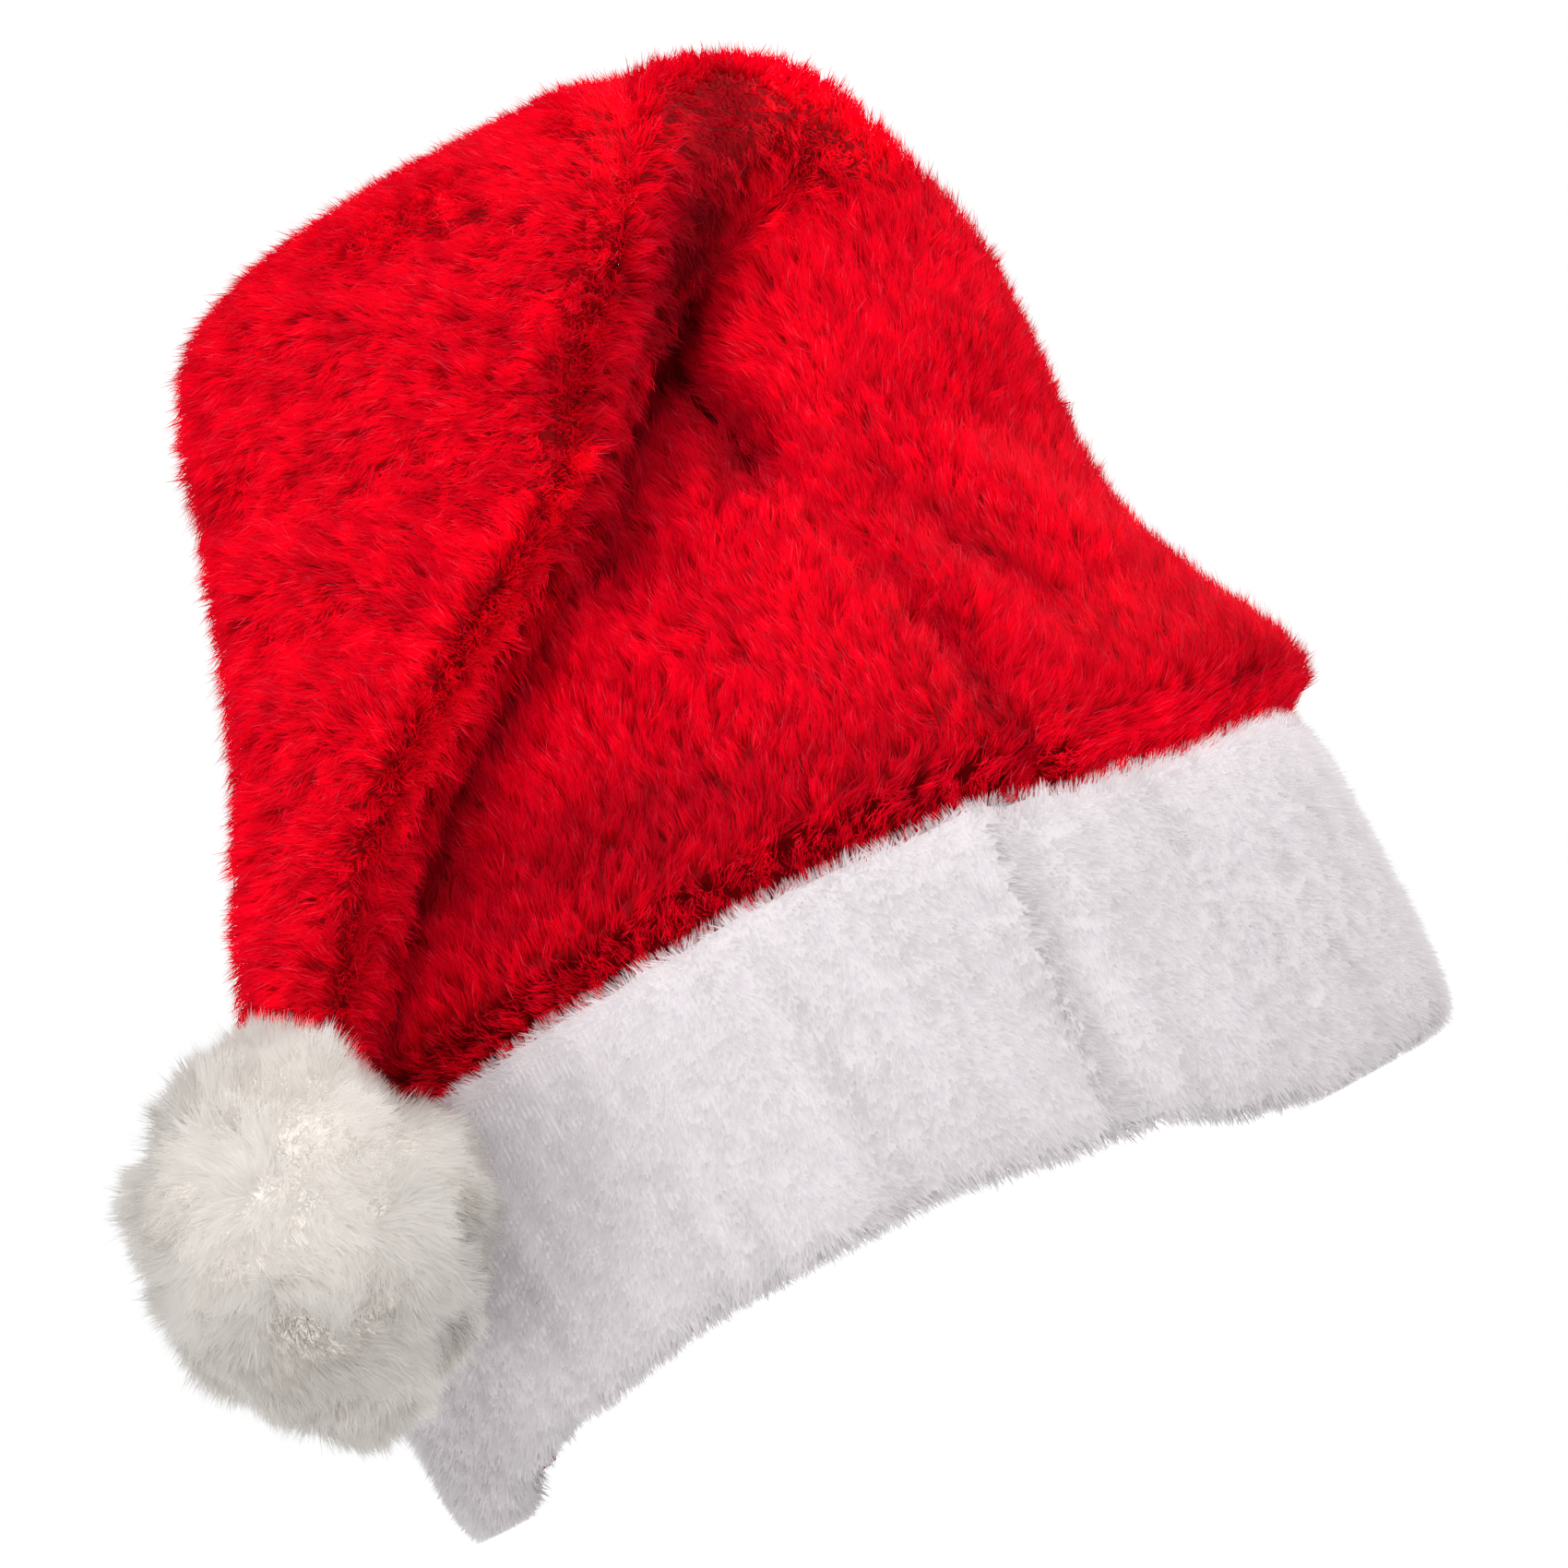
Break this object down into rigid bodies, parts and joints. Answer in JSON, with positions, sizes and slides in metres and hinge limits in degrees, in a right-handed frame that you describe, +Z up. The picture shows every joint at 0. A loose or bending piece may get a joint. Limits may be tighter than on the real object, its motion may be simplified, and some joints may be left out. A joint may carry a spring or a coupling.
{
  "type": "santa hat",
  "caption": "Plush santa hat with a thick cuff, its tail folded forward over the crown and hanging to one side with a pompom.",
  "frame": {"origin": "on the surface that the hat rests on, under the middle of the hat's box", "axes": "+X to the hat's right seen from the front, -Y to the front where the tail hangs, +Z up"},
  "size_m": [0.276, 0.244, 0.2685],
  "materials": {
    "red_plush": "cut-pile polyester plush",
    "white_plush": "sheared polyester plush",
    "pompom_pile": "fluffy cut pile"
  },
  "bodies": {
    "root": {"crown_left": "red_plush", "crown_right": "red_plush", "cuff": "white_plush", "pompom": "pompom_pile"}
  },
  "joints": []
}
